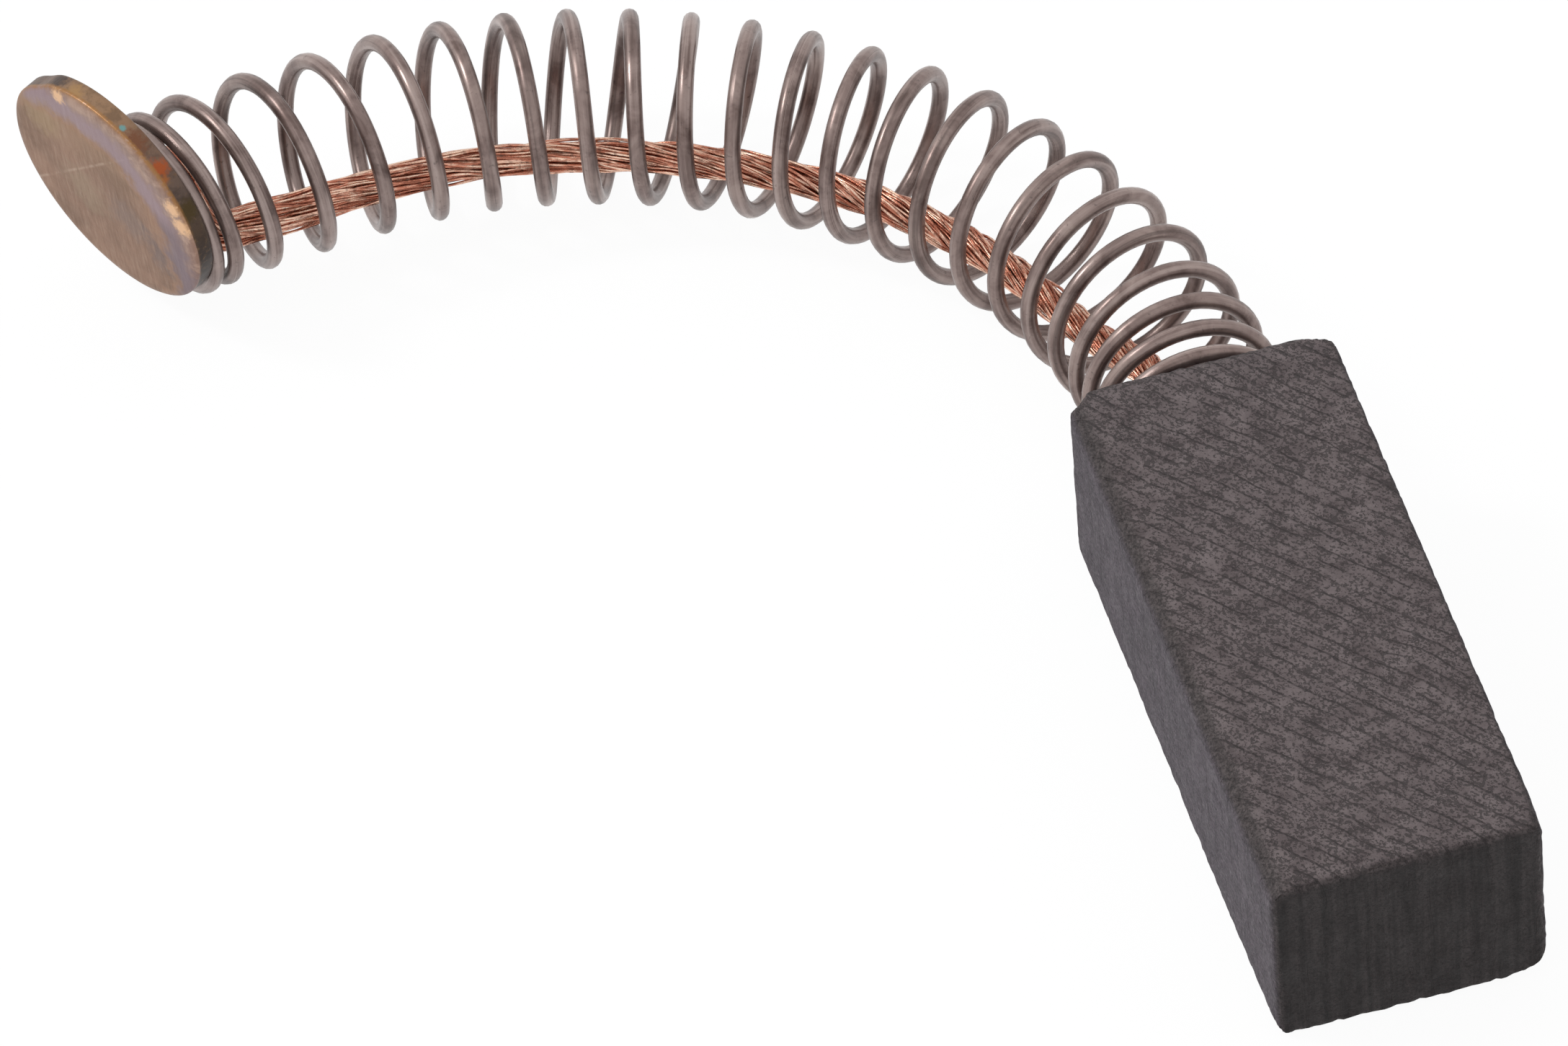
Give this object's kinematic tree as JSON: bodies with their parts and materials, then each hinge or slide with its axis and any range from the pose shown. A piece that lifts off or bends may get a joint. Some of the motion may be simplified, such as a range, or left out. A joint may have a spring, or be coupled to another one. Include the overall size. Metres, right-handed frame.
{
  "type": "carbon brush",
  "caption": "Rectangular carbon motor brush with a copper rope shunt inside a bent helical steel spring that ends in a round brass contact cap",
  "frame": {"origin": "centre of the wear face", "axes": "+Y runs from the wear face to the rear end of the block, +X across its width to the side away from the cap, +Z through its thickness"},
  "size_m": [0.0336, 0.0423, 0.009],
  "materials": {
    "carbon_graphite": "dull pressed carbon-graphite, sawn and slightly chipped",
    "tamped_copper": "dull tamped copper powder",
    "copper_rope": "bare fine copper wires, lightly tarnished",
    "spring_steel": "heat-darkened drawn steel wire",
    "tarnished_brass": "tarnished brass with straw and violet heat tints"
  },
  "bodies": {
    "root": {"carbon_block": "carbon_graphite", "tamping": "tamped_copper", "shunt": "copper_rope", "spring": "spring_steel", "contact_cap": "tarnished_brass"}
  },
  "joints": []
}
